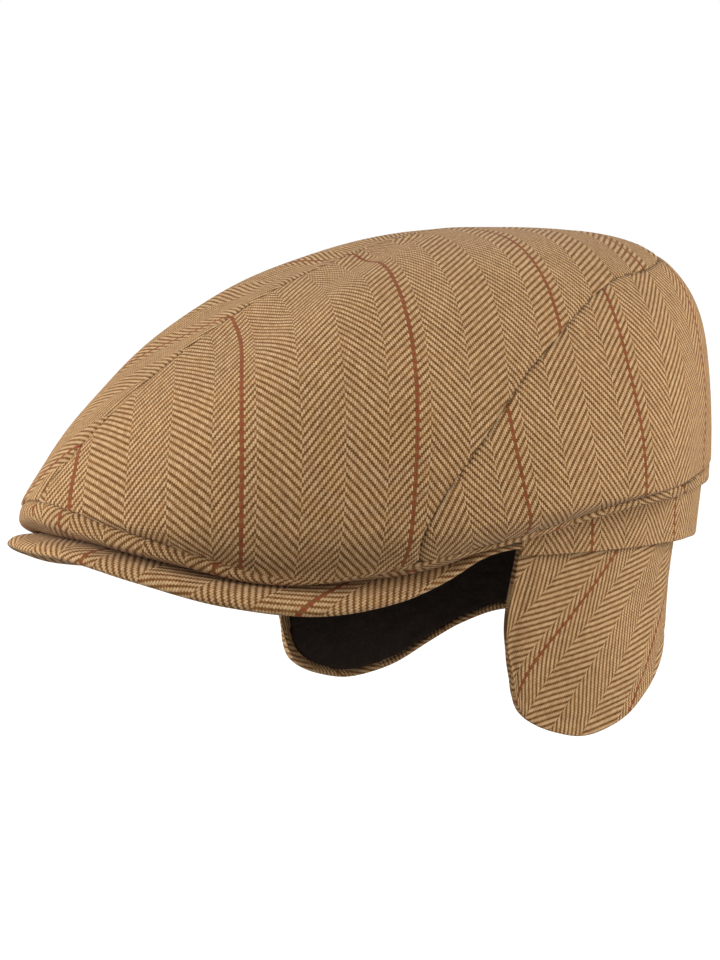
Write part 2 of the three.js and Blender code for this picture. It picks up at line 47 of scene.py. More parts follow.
# View: the cap is shown from its front left and a little from above.
# The camera is turned a trifle, so that the head opening lies right of the middle and below it.
VIEW_AZIMUTH = math.radians(58.45)
VIEW_ELEVATION = math.radians(5.63)
VIEW_DISTANCE = 1.1
FRAME_HEIGHT = 960
FOCAL_LENGTH = 3083 / FRAME_HEIGHT
ORIGIN_RIGHT = 69.5 / FRAME_HEIGHT
ORIGIN_DOWN = 52.9 / FRAME_HEIGHT
SENSOR = 36


def from_view(azimuth, elevation):
    """The direction from the cap to a place at an azimuth and an elevation, in radians."""
    level = math.cos(elevation)
    return Vector((math.sin(azimuth) * level, -math.cos(azimuth) * level, math.sin(elevation)))


back = from_view(VIEW_AZIMUTH, VIEW_ELEVATION)
right = Vector((math.cos(VIEW_AZIMUTH), math.sin(VIEW_AZIMUTH), 0))
upright = Matrix((right, back.cross(right), back)).transposed()
aside = Vector((ORIGIN_RIGHT / FOCAL_LENGTH, -ORIGIN_DOWN / FOCAL_LENGTH, -1))
turn = aside.rotation_difference(Vector((0, 0, -1))).to_matrix()
lens = bpy.data.cameras.new("view")
lens.sensor_width = SENSOR
lens.lens = FOCAL_LENGTH * SENSOR
camera = bpy.data.objects.new("view", lens)
camera.matrix_world = Matrix.Translation(back * VIEW_DISTANCE) @ (upright @ turn).to_4x4()
bpy.context.collection.objects.link(camera)
bpy.context.scene.camera = camera
bpy.context.scene.view_settings.view_transform = "Standard"


# Studio: a pale floor well below the cap, which is held up as a head holds it,
# with soft boxes at its front, at its back and overhead, in a white room.
FLOOR_HEIGHT = -0.3
FLOOR_REACH = 20
FLOOR_GLOW = 1
FLOOR_GREY = (0.35, 0.35, 0.35, 1)
BLACK = (0, 0, 0, 1)
WHITE = (1, 1, 1, 1)
ROOM_LIGHT = 0.26
SOFT_BOXES = [
    dict(name="front_box", azimuth=-18, elevation=24, away=1.5, size=1.1, watts=32),
    dict(name="rear_box", azimuth=135, elevation=20, away=1.5, size=1.1, watts=29),
    dict(name="top_box", azimuth=58, elevation=60, away=1.5, size=1.4, watts=2),
]


class Socket:
    """A value in a material, which Math nodes are added to as it is reckoned with."""

    def __init__(self, tree, link):
        self.tree = tree
        self.link = link

    def maths(self, operation, *values):
        node = self.tree.nodes.new("ShaderNodeMath")
        node.operation = operation
        for entry, value in zip(node.inputs, values):
            feed(self.tree, entry, value)
        return Socket(self.tree, node.outputs[0])

    def floor(self):
        return self.maths("FLOOR", self)

    def beside(self, output):
        """Another output of the node that the value comes from."""
        return Socket(self.tree, self.link.node.outputs[output])

    def __add__(self, other):
        return self.maths("ADD", self, other)

    def __sub__(self, other):
        return self.maths("SUBTRACT", self, other)

    def __rsub__(self, other):
        return self.maths("SUBTRACT", other, self)

    def __mul__(self, other):
        return self.maths("MULTIPLY", self, other)

    def __truediv__(self, other):
        return self.maths("DIVIDE", self, other)

    def __mod__(self, other):
        return self.maths("FLOORED_MODULO", self, other)

    __radd__ = __add__
    __rmul__ = __mul__


def feed(tree, entry, value):
    """Sets a node's input to a value, or links it."""
    if isinstance(value, Socket):
        tree.links.new(value.link, entry)
    else:
        entry.default_value = value


class Finish:
    """A material, whose nodes are added one by one."""

    def __init__(self, name, surface):
        self.material = bpy.data.materials.new(name)
        self.material.use_nodes = True
        self.tree = self.material.node_tree
        self.shader = self.tree.nodes["Principled BSDF"]
        for entry, value in surface.items():
            self.shader.inputs[entry].default_value = value

    def node(self, kind, settings, values, output=0):
        node = self.tree.nodes.new(kind)
        for name, setting in settings.items():
            setattr(node, name, setting)
        for entry, value in values.items():
            feed(self.tree, node.inputs[entry], value)
        return Socket(self.tree, node.outputs[output])

    def mix(self, share, first, second):
        values = {"Factor": share, 6: first, 7: second}
        return self.node("ShaderNodeMix", {"data_type": "RGBA"}, values, 2)

    def clouds(self, place, scale, detail):
        """Soft noise between about 0 and 1."""
        return self.node("ShaderNodeTexNoise", {}, {"Vector": place, "Scale": scale, "Detail": detail})

    def chance(self, x, y, z):
        """A value between 0 and 1 that differs from each yarn to the next."""
        place = self.node("ShaderNodeCombineXYZ", {}, {"X": x, "Y": y, "Z": z})
        return self.node("ShaderNodeTexWhiteNoise", {}, {"Vector": place})

    def smooth(self, value, low, high):
        """A soft step from 0 at a low value to 1 at a high one."""
        settings = {"interpolation_type": "SMOOTHSTEP"}
        return self.node("ShaderNodeMapRange", settings, {"Value": value, "From Min": low, "From Max": high})

    def wear(self, colour, height, depth, strength):
        """Puts a colour on the surface, and a relief of a depth in metres."""
        feed(self.tree, self.shader.inputs["Base Color"], colour)
        values = {"Height": height, "Distance": depth, "Strength": strength}
        feed(self.tree, self.shader.inputs["Normal"], self.node("ShaderNodeBump", {}, values))


floor_mesh = bpy.data.meshes.new("floor")
floor_grid = bmesh.new()
bmesh.ops.create_grid(floor_grid, x_segments=1, y_segments=1, size=FLOOR_REACH)
bmesh.ops.translate(floor_grid, verts=floor_grid.verts, vec=(0, 0, FLOOR_HEIGHT))
floor_grid.to_mesh(floor_mesh)
floor_grid.free()
floor = bpy.data.objects.new("floor", floor_mesh)
bpy.context.collection.objects.link(floor)
paper = Finish("floor", {"Base Color": FLOOR_GREY, "Roughness": 0.9, "Emission Strength": FLOOR_GLOW})
in_sight = paper.node("ShaderNodeLightPath", {}, {})
feed(paper.tree, paper.shader.inputs["Emission Color"], paper.mix(in_sight, BLACK, WHITE))
floor_mesh.materials.append(paper.material)

room = bpy.data.worlds.new("room")
room.use_nodes = True
walls = room.node_tree
glow = walls.nodes["Background"]
glow.inputs["Strength"].default_value = ROOM_LIGHT
seen = walls.nodes.new("ShaderNodeBackground")
choice = walls.nodes.new("ShaderNodeMixShader")
path = walls.nodes.new("ShaderNodeLightPath")
for backdrop in (glow, seen):
    backdrop.inputs["Color"].default_value = WHITE
walls.links.new(path.outputs["Is Camera Ray"], choice.inputs["Fac"])
walls.links.new(glow.outputs[0], choice.inputs[1])
walls.links.new(seen.outputs[0], choice.inputs[2])
walls.links.new(choice.outputs[0], walls.nodes["World Output"].inputs["Surface"])
bpy.context.scene.world = room

for box in SOFT_BOXES:
    light = bpy.data.lights.new(box["name"], "AREA")
    light.size = box["size"]
    light.energy = box["watts"]
    direction = from_view(math.radians(box["azimuth"]), math.radians(box["elevation"]))
    lamp = bpy.data.objects.new(box["name"], light)
    lamp.location = direction * box["away"]
    lamp.rotation_euler = direction.to_track_quat("Z", "Y").to_euler()
    bpy.context.collection.objects.link(lamp)


# Crown, main panels: two mirrored pieces of woollen herringbone tweed that meet in the centre seam.
# Each runs from that seam down to the hem at the front and the side, and to the back seam behind.
CROWN_TOP = 108.7
CROWN_TOP_Y = 24
TOP_FLAT = 0.14
CROWN_WALL = 2
PANEL_COLUMNS = 130
PANEL_ROWS = 60
PANEL_CROWDING = 0.7
ACROSS_FROM_CORNER = -0.315
INSIDE = np.array((0, 0, 40))
# The share of a meridian that is folded in as the hem, and of the columns that end at the hem
TURNED_UNDER = 0.14
HEM_PART = 0.4


def smooth_curve(places, values):
    """A smooth curve through one column of a table, level at both ends."""
    places = np.array(places, float)
    values = np.array(values, float)
    slopes = np.zeros(len(places))
    slopes[1:-1] = (values[2:] - values[:-2]) / (places[2:] - places[:-2])

    def at(place):
        place = np.asarray(place, float)
        i = np.clip(np.searchsorted(places, place, side="right") - 1, 0, len(places) - 2)
        span = places[i + 1] - places[i]
        t = np.clip((place - places[i]) / span, 0, 1)
        rise = values[i + 1] - values[i]
        early = slopes[i] * span * t * (1 - t) ** 2
        late = slopes[i + 1] * span * t * t * (1 - t)
        return values[i] + rise * t * t * (3 - 2 * t) + early - late

    return at


def curves(names, rows):
    """One smooth curve for each named column of a table, by its first column."""
    columns = list(zip(*rows))
    return {name: smooth_curve(columns[0], column) for name, column in zip(names[1:], columns[1:])}


# Meridians of the crown, by angle from the front round the top point. The two powers set
# how full the cloth stands over the top and down the side.
MERIDIANS = ("angle", "wide_radius", "wide_height", "top_power", "side_power", "hem_radius", "hem_height")
CROWN = curves(MERIDIANS, [
    (0, 176.3, 19, 1.9, 1.1, 173.3, 17),
    (15, 167.7, 13, 1.8, 1.4, 162.7, 8),
    (30, 146.5, 12, 2, 2, 138, -4),
    (45, 130.5, 12, 1.9, 2.2, 122, 0),
    (60, 117, 15, 2.1, 2, 109, 6.5),
    (80, 103.5, 19.5, 2.3, 1.9, 96.5, 15),
    (100, 95, 22, 2.5, 2.1, 88.5, 20),
    (120, 85, 26, 2.6, 2.8, 82, 23),
    (150, 78.8, 29, 2.6, 5, 77, 23.5),
    (180, 80, 31, 2.45, 7, 77.5, 24),
])


def folded(angle):
    """The right half mirrors the left, so its angles fold back."""
    angle = np.abs(np.asarray(angle, float))
    return np.where(angle > 180, 360 - angle, angle)


def crown_point(angle, share):
    """The outside of the crown, at an angle and a share of the way down that meridian."""
    share = np.asarray(share, float)
    side = {name: curve(folded(angle)) for name, curve in CROWN.items()}
    out = np.sin(np.minimum(share, 1) * math.pi / 2)
    under = np.maximum(share - 1, 0) / TURNED_UNDER
    bend = out ** side["top_power"] * (1 - np.exp(-(out / TOP_FLAT) ** 2))
    fall = np.maximum(1 - bend, 0) ** (1 / side["side_power"])
    wide, low = side["wide_radius"], side["wide_height"]
    radius = np.where(share <= 1, wide * out, wide - (wide - side["hem_radius"]) * under ** 2)
    lower = low - (low - side["hem_height"]) * under
    height = np.where(share <= 1, low + (CROWN_TOP - low) * fall, lower)
    round_ = np.radians(angle)
    return np.stack([radius * np.sin(round_), CROWN_TOP_Y - radius * np.cos(round_), height], -1)


# Back seam, from the hem at the side up to the middle of the back, and even steps along it
BACK_SEAM = [
    (47, 1.14), (48.5, 1.02), (51, 0.95), (55, 0.87), (60, 0.77), (65, 0.685), (72, 0.61),
    (81, 0.54), (92, 0.49), (104, 0.478), (120, 0.515), (140, 0.555), (160, 0.58), (180, 0.585),
]
SEAM_SAMPLES = 400
seam_curves = curves(("order", "angle", "share"), [(i, *row) for i, row in enumerate(BACK_SEAM)])
seam_orders = np.linspace(0, len(BACK_SEAM) - 1, SEAM_SAMPLES + 1)
seam_places = crown_point(seam_curves["angle"](seam_orders), seam_curves["share"](seam_orders))
seam_steps = np.linalg.norm(np.diff(seam_places, axis=0), axis=1)
seam_lengths = np.concatenate([[0], np.cumsum(seam_steps)])


def seam_place(part):
    """Angle and share of a place on the back seam, at a part of its length."""
    order = np.interp(np.asarray(part) * seam_lengths[-1], seam_lengths, seam_orders)
    return seam_curves["angle"](order), seam_curves["share"](order)


def crowded(count, crowding, both=True):
    """Steps from 0 to 1, drawn together towards both ends or only the last."""
    t = np.linspace(0, 1, count)
    close = (1 - np.cos(math.pi * t)) / 2 if both else np.sin(math.pi * t / 2)
    return (1 - crowding) * t + crowding * close


def facing(points):
    """Directions square to a grid of points, away from the inside of the cap."""
    square = np.cross(np.gradient(points, axis=0), np.gradient(points, axis=1))
    length = np.linalg.norm(square, axis=2, keepdims=True)
    square = square / np.maximum(length, 1e-9)
    outward = np.sum(square * (points - INSIDE)) > 0
    return square if outward else -square


def run(points, axis):
    """Length along a grid of points from its first row or column."""
    steps = np.linalg.norm(np.diff(points, axis=axis), axis=2)
    return np.concatenate([np.zeros_like(np.take(steps, [0], axis)), np.cumsum(steps, axis)], axis)


SEAM_LAP = 0.2


def lapped(points, row):
    """Runs the cloth a little past a seam, at its first row or its last, so that nothing shows between."""
    beside = points[:, 1] if row == 0 else points[:, -2]
    outward = points[:, row] - beside
    points[:, row] += SEAM_LAP * outward / np.maximum(np.linalg.norm(outward, axis=1, keepdims=True), 1e-6)
    return points


SEAM_DIP = 0.4
SEAM_DIP_WIDTH = 0.8
SEAM_SWELL = 0.2
SEAM_SWELL_AT = 4
SEAM_SWELL_WIDTH = SEAM_SWELL_AT / 1.4


def seam_relief(distance):
    """How the cloth dips into a seam and swells beside it."""
    dip = SEAM_DIP * np.exp(-(distance / SEAM_DIP_WIDTH) ** 2)
    swell = SEAM_SWELL * np.exp(-((distance - SEAM_SWELL_AT) / SEAM_SWELL_WIDTH) ** 2)
    return swell - dip


NOISE_STEP = Vector((7.3, 3.1, 5.7))
NOISE_REACH = 1.6


def waves(points, size, seed):
    """Even, soft unevenness between about -1 and 1, with bumps of a size in millimetres."""
    shift = NOISE_STEP * seed
    places = points.reshape(-1, 3) / size
    values = [noise.noise(Vector(place) + shift) for place in places]
    return np.array(values).reshape(points.shape[:2]) * NOISE_REACH


# The hem, by angle from the front: its folded lip, the crease above that, and the cloth's puckers
HEM = curves(("angle", "lip", "crease", "pucker"), [
    (0, 0, 0.2, 0.2),
    (8, 0, 0.3, 0.5),
    (14, 0.1, 0.4, 0.6),
    (22, 0.3, 0.45, 0.45),
    (28, 0.7, 0.5, 0.2),
    (40, 0.6, 0.3, 0.12),
    (60, 0.1, 0.1, 0.1),
    (180, 0, 0.1, 0.1),
])
HEM_LIP_WIDTH = 1.8
HEM_CREASE_AT = 4.2
HEM_CREASE_WIDTH = 1.2
HEM_CREASE_EVEN = 0.7
PUCKER_SIZE = 5
PUCKER_REACH = 8


def hem_relief(points, angle, distance, seed):
    """The folded hem's lip, the crease of its stitching, and the puckers above it."""
    angle = folded(angle)
    lip = HEM["lip"](angle) * np.exp(-(distance / HEM_LIP_WIDTH) ** 2)
    crease = HEM["crease"](angle) * np.exp(-((distance - HEM_CREASE_AT) / HEM_CREASE_WIDTH) ** 2)
    pulled = HEM["pucker"](angle) * waves(points, PUCKER_SIZE, seed) * np.exp(-distance / PUCKER_REACH)
    uneven = HEM_CREASE_EVEN + (1 - HEM_CREASE_EVEN) * waves(points, PUCKER_SIZE, seed + 1)
    return lip - crease * uneven + pulled


SLACK = 0.7
SLACK_SIZE = 38
SLACK_FROM_EDGE = 12


def slack(points, from_edge, seed, depth=SLACK, size=SLACK_SIZE, full_at=SLACK_FROM_EDGE):
    """The cloth's own soft hollows and swells, which die out towards its edges."""
    return depth * waves(points, size, seed) * np.clip(from_edge / full_at, 0, 1)


HEM_BLEND = 0.03
RIDGE_FADE = 4


def main_panel():
    """The left panel's cloth: columns along the centre seam, rows from it to the lower edge.
    With it comes how far each place lies from the nearest seam."""
    along = np.linspace(0, 1, PANEL_COLUMNS)
    seam_angle, seam_share = seam_place(np.clip((along - HEM_PART) / (1 - HEM_PART), 0, 1))
    on_hem = along < HEM_PART
    angle = np.where(on_hem, BACK_SEAM[0][0] * along / HEM_PART, seam_angle)
    share = np.where(on_hem, 1 + TURNED_UNDER, seam_share)
    edge = np.stack([share * np.sin(np.radians(angle)), -share * np.cos(np.radians(angle))], -1)
    ridge_places = [-1 - TURNED_UNDER, ACROSS_FROM_CORNER, BACK_SEAM[-1][1]]
    ridge = np.stack([np.zeros(PANEL_COLUMNS), np.interp(along, [0, HEM_PART, 1], ridge_places)], -1)
    down = crowded(PANEL_ROWS, PANEL_CROWDING)[None, :, None]
    plan = (1 - down) * ridge[:, None] + down * edge[:, None]
    turned = np.degrees(np.arctan2(plan[..., 0], -plan[..., 1]))
    points = crown_point(turned, np.hypot(plan[..., 0], plan[..., 1]))
    from_ridge = run(points, 1)
    from_edge = from_ridge[:, -1:] - from_ridge
    hem_share = np.clip((HEM_PART - along + HEM_BLEND / 3) / HEM_BLEND, 0, 1)[:, None]
    relief = (
        seam_relief(from_ridge) * np.clip(from_edge / RIDGE_FADE, 0, 1)
        + (1 - hem_share) * seam_relief(from_edge)
        + hem_share * hem_relief(points, turned, from_edge, seed=3)
        + slack(points, np.minimum(from_ridge, from_edge), seed=5)
    )
    points = lapped(lapped(points + facing(points) * relief[..., None], 0), -1)
    # The painted seam shade follows the centre seam and the back seam, and is kept off the hem.
    return points, np.minimum(from_ridge, from_edge + HEM_CREASE_AT * hem_share)


# Width in millimetres of the painted shade along each seam, which stands for the shadow in the seam's groove
SEAM_PAINTED_SHADE_WIDTH = 0.7
MERGED = 0.01


def cloth_sheet(name, points, nodes, flat=None, closed=False, from_seam=None):
    """A sheet of cloth on a grid of points in millimetres, as one piece that stands for CAD nodes.
    flat gives its places in the cloth, in millimetres, where they are known beforehand.
    A closed one meets itself along its rows, and its two ends are filled.
    from_seam is how far each place lies from the nearest seam, for the painted shade along the seam line."""
    grid = bmesh.new()
    columns, rows = points.shape[:2]
    bmesh.ops.create_grid(grid, x_segments=rows - 1, y_segments=columns - 1, size=0.5)
    for vert, place in zip(grid.verts, points.reshape(-1, 3)):
        vert.co = place * MM
    if from_seam is not None:
        # Each vertex keeps the strength of the painted seam shade: 1 on the seam, fading away from it
        seam = grid.verts.layers.float.new("seam")
        for vert, distance in zip(grid.verts, from_seam.ravel()):
            vert[seam] = math.exp(-(distance / SEAM_PAINTED_SHADE_WIDTH) ** 2)
    if flat is not None:
        weave = grid.loops.layers.uv.new("weave")
        places = flat.reshape(-1, 2) * MM
        grid.verts.index_update()
        for face in grid.faces:
            for corner in face.loops:
                corner[weave].uv = places[corner.vert.index]
    bmesh.ops.remove_doubles(grid, verts=grid.verts, dist=MERGED * MM)
    if closed:
        bmesh.ops.holes_fill(grid, edges=[edge for edge in grid.edges if edge.is_boundary])
        bmesh.ops.recalc_face_normals(grid, faces=grid.faces)
    grid.normal_update()
    centre = Vector(INSIDE * MM)
    outward = sum(
        (face.calc_center_median() - centre).dot(face.normal) * face.calc_area() for face in grid.faces
    )
    if outward < 0:
        bmesh.ops.reverse_faces(grid, faces=grid.faces)
    for face in grid.faces:
        face.smooth = True
    mesh = bpy.data.meshes.new(name)
    grid.to_mesh(mesh)
    grid.free()
    piece = bpy.data.objects.new(name, mesh)
    bpy.context.collection.objects.link(piece)
    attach(piece, "root")
    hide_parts(*nodes)
    return piece


def soften(piece):
    """Rounds a piece's edges."""
    soft = piece.modifiers.new("soft", "SUBSURF")
    soft.levels = soft.render_levels = 1


EDGE_CREASE = 0.85


def thicken(piece, thickness, share=None, lined=False):
    """Gives a sheet its wall, inwards from its outside, and rounds its edges. share is the wall's share
    of the thickness at each vertex. The inside of a lined sheet takes its second material."""
    wall = piece.modifiers.new("wall", "SOLIDIFY")
    wall.thickness = thickness * MM
    wall.offset = -1
    wall.edge_crease_outer = wall.edge_crease_rim = EDGE_CREASE
    if share is not None:
        group = piece.vertex_groups.new(name="thickness")
        for index, weight in enumerate(share):
            group.add([index], float(weight), "REPLACE")
        wall.vertex_group = "thickness"
    if lined:
        wall.material_offset = 1
    soften(piece)


WARP_PITCH = 0.667
WEFT_PITCH = 0.765
COLUMN_THREADS = 21
STRIPE_EVERY = 4 * COLUMN_THREADS
STRIPE_THREADS = (76, 77)
STRIPE_AT = (STRIPE_THREADS[1] - STRIPE_EVERY) * WARP_PITCH
UNWRAP_ROUNDS = 20
PANEL_EASE_FROM = 24


def gathered(parts, name, width, kind=np.float32):
    """One property of all the parts of a mesh, in rows."""
    values = np.empty(len(parts) * width, kind)
    parts.foreach_get(name, values)
    return values.reshape(-1, width)


def lay_cloth(piece, low, high, fullness=1, bow=0, ease=0):
    """Flattens a sheet at its real size and turns its cloth, so that a rust line of the weave
    runs from a low place to a high one, bowed between them by some millimetres.
    Where fullness is over 1 the cloth is drawn together. With ease it is drawn out towards the
    front and drawn together towards the back, by a share of its width for each millimetre."""
    bpy.ops.object.select_all(action="DESELECT")
    bpy.context.view_layer.objects.active = piece
    piece.select_set(True)
    bpy.ops.object.mode_set(mode="EDIT")
    bpy.ops.mesh.select_all(action="SELECT")
    bpy.ops.uv.unwrap(method="MINIMUM_STRETCH", iterations=UNWRAP_ROUNDS, margin=0)
    bpy.ops.object.mode_set(mode="OBJECT")
    mesh = piece.data
    mesh.uv_layers.active.name = "weave"
    flat = gathered(mesh.uv_layers.active.data, "uv", 2).astype(float)
    corners = gathered(mesh.loops, "vertex_index", 1, np.int32)[:, 0]
    places = gathered(mesh.vertices, "co", 3).astype(float)
    mesh.calc_loop_triangles()
    a, b, c = flat[gathered(mesh.loop_triangles, "loops", 3, np.int32)].transpose(1, 0, 2)
    flat_area = np.abs(np.sum((b - a)[:, 0] * (c - a)[:, 1] - (b - a)[:, 1] * (c - a)[:, 0])) / 2
    real_area = sum(face.area for face in mesh.polygons)
    ends = []
    for end in (low, high):
        nearest = np.argmin(np.sum((places - end * MM) ** 2, axis=1))
        ends.append(flat[np.argmax(corners == nearest)])
    rise = ends[1] - ends[0]
    lean = math.atan2(rise[0], rise[1])
    spin = np.array([[math.cos(lean), -math.sin(lean)], [math.sin(lean), math.cos(lean)]])
    scale = math.sqrt(real_area / flat_area)
    flat = (flat - ends[0]) @ spin.T * scale
    rise_share = flat[:, 1] / (math.hypot(*rise) * scale)
    across = (flat[:, 0] / MM - bow * 4 * rise_share * (1 - rise_share)) * fullness
    eased = across + ease * (across + np.sign(ease) * PANEL_EASE_FROM) ** 2 - ease * PANEL_EASE_FROM ** 2
    flat[:, 0] = (eased + STRIPE_AT) * MM
    mesh.uv_layers.active.data.foreach_set("uv", flat.astype(np.float32).ravel())


# Herringbone tweed: cream warp over brown weft in a two-and-two twill that turns at each column,
# with two rust warp threads in every fourth column. Yarns differ a little from each other.
TWILL_REPEAT = 4
LIGHT_YARN = (0.575, 0.38, 0.196, 1)
TAN_YARN = (0.43, 0.262, 0.124, 1)
BROWN_YARN = (0.235, 0.103, 0.03, 1)
DARK_YARN = (0.14, 0.055, 0.0145, 1)
RUST_YARN = (0.26, 0.062, 0.026, 1)

YARN_WANDER = 0.8
WANDER_SCALE = 160
WARP_NARROWING = 0.35
WARP_COVER = 0.2
WARP_STEP = 0.45
WEFT_DRAW = 7
# Painted shade towards each yarn's edges, where the round yarn turns away from the light and under its
# neighbours
YARN_EDGE_PAINTED_SHADE = 0.3
FUZZ_SCALE = 2600
FUZZ_SHADE = 0.4
PATCH_SCALE = 28
PATCH_SHADE = 0.2
# Painted shade along the seams, broken up by noise of the size set below
SEAM_PAINTED_SHADE = 0.75
BROKEN_SHADE_SCALE = 260
BROKEN_SHADE_FROM = 0.35
BROKEN_SHADE_FULL = 0.6
WARP_ROUNDING = 0.6
WEFT_HEIGHT = 0.45
WEFT_ROUNDING = 0.25
FUZZ_HEIGHT = 0.5
TWEED_DEPTH = 0.35
TWEED_RELIEF = 0.55


def tweed():
    cloth = Finish("tweed", {"Roughness": 0.95, "Specular IOR Level": 0.12, "Sheen Weight": 0.05})
    place = cloth.node("ShaderNodeUVMap", {"uv_map": "weave"}, {})
    split = cloth.node("ShaderNodeSeparateXYZ", {}, {"Vector": place})
    across = split * (1 / (WARP_PITCH * MM))
    up = split.beside("Y") * (1 / (WEFT_PITCH * MM))
    wobble = cloth.clouds(place, WANDER_SCALE, 2)
    across = across + (wobble - 0.5) * YARN_WANDER
    up = up + (wobble.beside("Color") - 0.5) * YARN_WANDER
    column = (across / COLUMN_THREADS).floor()
    odd = column % 2
    warp, weft = across.floor(), up.floor()
    from_warp, from_weft = across - warp - 0.5, up - weft - 0.5
    warp_edge, weft_edge = from_warp * from_warp * 4, from_weft * from_weft * 4
    # The warp floats over two weft threads and under two, one thread further along at each warp thread.
    within = warp - column * COLUMN_THREADS + 0.5
    step = (up + within * (1 - odd * 2) + odd * (COLUMN_THREADS + 2)) * (1 / TWILL_REPEAT)
    wave = step.maths("COSINE", (step - 1 / TWILL_REPEAT) * (2 * math.pi))
    raised = cloth.smooth(wave - warp_edge * WARP_NARROWING + WARP_COVER, -WARP_STEP, WARP_STEP)
    light = cloth.mix(cloth.chance(warp, step.floor(), column), LIGHT_YARN, TAN_YARN)
    dark = cloth.mix(cloth.chance(weft, step.floor(), WEFT_DRAW), BROWN_YARN, DARK_YARN)
    repeat = warp % STRIPE_EVERY
    first = repeat.maths("GREATER_THAN", repeat, STRIPE_THREADS[0] - 0.5)
    last = repeat.maths("LESS_THAN", repeat, STRIPE_THREADS[1] + 0.5)
    light = cloth.mix(first * last, light, RUST_YARN)
    colour = cloth.mix(raised, dark, light)
    fuzz = cloth.clouds(place, FUZZ_SCALE, 3)
    patches = cloth.clouds(place, PATCH_SCALE, 3)
    # Painted shade in the seams' grooves, read from the sheet's seam attribute and broken up by noise
    seam = cloth.node("ShaderNodeAttribute", {"attribute_name": "seam"}, {}, 2)
    seam = seam * cloth.smooth(cloth.clouds(place, BROKEN_SHADE_SCALE, 1), BROKEN_SHADE_FROM, BROKEN_SHADE_FULL)
    # Each yarn darkens towards its edges as painted shade; fuzz and patches vary the yarns' tone, and the
    # seams take their painted shade.
    shade = 1 - (raised * warp_edge + (1 - raised) * weft_edge) * YARN_EDGE_PAINTED_SHADE
    shade = shade * (1 - FUZZ_SHADE / 2 + fuzz * FUZZ_SHADE) * (1 - PATCH_SHADE / 2 + patches * PATCH_SHADE)
    shade = shade * (1 - seam * SEAM_PAINTED_SHADE)
    colour = cloth.node("ShaderNodeVectorMath", {"operation": "SCALE"}, {0: colour, "Scale": shade})
    warp_height = raised * (1 - warp_edge * WARP_ROUNDING)
    weft_height = (1 - raised) * (WEFT_HEIGHT - weft_edge * WEFT_ROUNDING)
    cloth.wear(colour, warp_height + weft_height + fuzz * FUZZ_HEIGHT, TWEED_DEPTH * MM, TWEED_RELIEF)
    return cloth.material


# The cloth's wrong side and the lining inside the crown: a near-black brown napped cloth.
LINING_DARK = (0.012, 0.0085, 0.007, 1)
LINING_LIGHT = (0.039, 0.0275, 0.0215, 1)
CURL_SCALE = 700
CURL_SHARE = 0.7
TUFT_SCALE = 160
TUFT_HEIGHT = 1.5
NAP_DEPTH = 0.8
NAP_RELIEF = 0.8


def napped(name):
    cloth = Finish(name, {"Roughness": 1, "Specular IOR Level": 0.05, "Sheen Weight": 0.01})
    place = cloth.node("ShaderNodeTexCoord", {}, {}, 3)
    curls = cloth.clouds(place, CURL_SCALE, 4)
    tufts = cloth.clouds(place, TUFT_SCALE, 2)
    colour = cloth.mix(curls * CURL_SHARE + tufts * (1 - CURL_SHARE), LINING_DARK, LINING_LIGHT)
    cloth.wear(colour, curls + tufts * TUFT_HEIGHT, NAP_DEPTH * MM, NAP_RELIEF)
    return cloth.material


tweed_cloth = tweed()
lining_cloth = napped("lining")


def crown_piece(name, node, points, from_seam, line, hand, fullness=1, bow=0, ease=0):
    """A lined panel of the crown, mirrored where hand is -1. A rust line runs along line's two places."""
    mirror = (hand, 1, 1)
    piece = cloth_sheet(name, points * mirror, [node], from_seam=from_seam)
    low, high = (place * mirror for place in line)
    lay_cloth(piece, low, high, fullness, bow * hand, ease * hand)
    piece.data.materials.append(tweed_cloth)
    piece.data.materials.append(lining_cloth)
    thicken(piece, CROWN_WALL, lined=True)
    return piece


# The rust line that crosses the middle of each main panel, at the hem and near the centre seam
PANEL_BOW = 7.5
PANEL_EASE = 0.00075
PANEL_LINE = (crown_point(46.6, 1.045), crown_point(28.8, 0.325))
panel_points, panel_seam = main_panel()
for side, hand in (("left", 1), ("right", -1)):
    panel = crown_piece(
        f"crown_{side}_panel", f"crown_{side}", panel_points, panel_seam,
        PANEL_LINE, hand, bow=PANEL_BOW, ease=PANEL_EASE,
    )


# Crown, back panel: the same tweed from side to side round the back of the head, in two mirrored halves
# that are sewn together in the middle of the back. It is sewn to the main panels along the back seam,
# and its lower edge is folded as the hem.
BACK_COLUMNS = 90
BACK_ROWS = 44
BACK_CORNER = 0.004
BACK_HEM_ANGLE = 90
BACK_FULLNESS = 1.1
BACK_BOW = -3


def back_panel():
    """The left half's cloth: columns from its corner to the middle of the back, rows down to the hem.
    With it comes how far each place lies from the nearest seam."""
    part = np.linspace(BACK_CORNER, 1, BACK_COLUMNS)
    seam_angle, seam_share = seam_place(part)
    hem_angle = BACK_SEAM[0][0] + (180 - BACK_SEAM[0][0]) * part
    down = crowded(BACK_ROWS, PANEL_CROWDING)[None]
    angle = (1 - down) * seam_angle[:, None] + down * hem_angle[:, None]
    share = (1 - down) * seam_share[:, None] + down * (1 + TURNED_UNDER)
    points = crown_point(angle, share)
    from_back_seam, from_corner = run(points, 1), run(points, 0)
    from_hem = from_back_seam[:, -1:] - from_back_seam
    from_seam = np.minimum(from_back_seam, from_corner[-1:] - from_corner)
    relief = seam_relief(from_seam) + hem_relief(points, BACK_HEM_ANGLE, from_hem, seed=11)
    relief = relief + slack(points, np.minimum(from_seam, from_hem), seed=13)
    points = lapped(points + facing(points) * relief[..., None], 0)
    return lapped(points.swapaxes(0, 1), -1).swapaxes(0, 1), from_seam


BACK_LINE = (crown_point(89.6, 1), crown_point(91.6, 0.544))
back_points, back_seam = back_panel()
for side, hand in (("left", 1), ("right", -1)):
    half = crown_piece(
        f"crown_back_{side}_half", "crown_back", back_points, back_seam,
        BACK_LINE, hand, fullness=BACK_FULLNESS, bow=BACK_BOW,
    )


